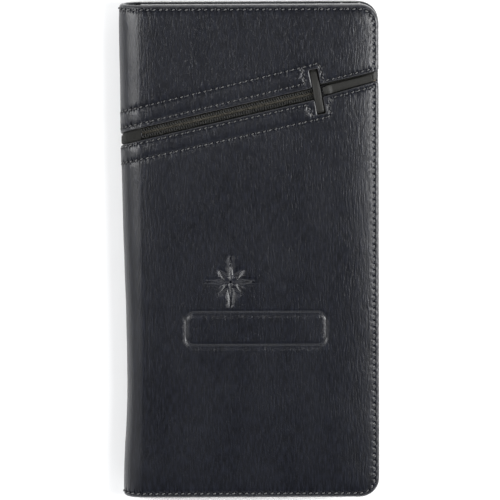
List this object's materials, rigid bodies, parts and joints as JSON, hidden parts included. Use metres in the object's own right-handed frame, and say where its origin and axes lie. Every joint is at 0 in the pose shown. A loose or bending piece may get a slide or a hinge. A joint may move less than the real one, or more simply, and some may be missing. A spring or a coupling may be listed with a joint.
{
  "type": "travel document organizer",
  "caption": "Closed leather bifold travel wallet that opens flat on a soft spine, with a slanting zip pocket across its front cover, card slots, a passport pocket and a pen loop.",
  "frame": {"origin": "centre of the closed wallet's footprint, on the surface that its back cover lies on", "axes": "+X from the spine towards the opening edge, +Y up the spine towards the top edge, +Z through the thickness towards the front cover"},
  "size_m": [0.1206, 0.2322, 0.02],
  "materials": {
    "black_leather": "fine straight grain, semi-gloss black",
    "pocket_leather": "smooth, satin, warm black",
    "fibre_board": "bonded leather board, matt brown",
    "lining_cloth": "fine woven taupe lining",
    "zip_cloth": "woven black zip tape",
    "coil_nylon": "moulded black nylon coil",
    "black_metal": "black plated metal",
    "clear_film": "clear flexible film"
  },
  "bodies": {
    "back_cover": {"back_leather": "black_leather", "back_board": "fibre_board", "back_lining": "lining_cloth", "ticket_pocket": "pocket_leather", "passport_pocket": "pocket_leather", "pen_loop": "pocket_leather"},
    "spine_1": {"spine_1_leather_upper": "black_leather", "spine_1_leather_lower": "black_leather", "spine_1_zip_tape": "zip_cloth", "spine_1_liner": "lining_cloth"},
    "spine_2": {"spine_2_leather_upper": "black_leather", "spine_2_leather_lower": "black_leather", "spine_2_zip_tape": "zip_cloth", "spine_2_liner": "lining_cloth"},
    "spine_3": {"spine_3_leather_upper": "black_leather", "spine_3_leather_lower": "black_leather", "spine_3_zip_tape": "zip_cloth", "spine_3_liner": "lining_cloth"},
    "front_cover": {"front_upper_leather": "black_leather", "front_lower_leather": "black_leather", "front_board": "fibre_board", "front_lining": "lining_cloth", "zip_pocket_liner": "lining_cloth", "zip_tape_upper": "zip_cloth", "zip_tape_lower": "zip_cloth", "zip_coil_upper": "coil_nylon", "zip_coil_lower": "coil_nylon", "zip_top_stop": "black_metal", "zip_bottom_stop": "black_metal", "keeper_loop": "pocket_leather", "channel_backing": "pocket_leather", "card_slot_1": "pocket_leather", "card_slot_2": "pocket_leather", "card_slot_3": "pocket_leather", "card_slot_4": "pocket_leather", "id_window_frame": "pocket_leather", "id_window_film": "clear_film"},
    "zip_slider": {"zip_slider_body": "black_metal"},
    "zip_pull": {"pull_link": "black_metal", "pull_strap": "pocket_leather"}
  },
  "joints": [
    {"name": "spine_fold_1", "type": "hinge", "parent": "back_cover", "child": "spine_1", "pos_m": [-0.05405, 0, 0.001], "axis": [0, -1, 0], "range_deg": [0, 45]},
    {"name": "spine_fold_2", "type": "hinge", "parent": "spine_1", "child": "spine_2", "pos_m": [-0.05933, 0, 0.00627], "axis": [0, -1, 0], "range_deg": [0, 45]},
    {"name": "spine_fold_3", "type": "hinge", "parent": "spine_2", "child": "spine_3", "pos_m": [-0.05933, 0, 0.01373], "axis": [0, -1, 0], "range_deg": [0, 45]},
    {"name": "spine_fold_4", "type": "hinge", "parent": "spine_3", "child": "front_cover", "pos_m": [-0.05405, 0, 0.019], "axis": [0, -1, 0], "range_deg": [0, 45]},
    {"name": "zip_slide", "type": "slide", "parent": "front_cover", "child": "zip_slider", "axis": [-0.9744, -0.225, 0], "range_m": [0, 0.075]},
    {"name": "pull_lift", "type": "hinge", "parent": "zip_slider", "child": "zip_pull", "pos_m": [0.03479, 0.07558, 0.01862], "axis": [0.225, -0.9744, 0], "range_deg": [0, 85]}
  ]
}
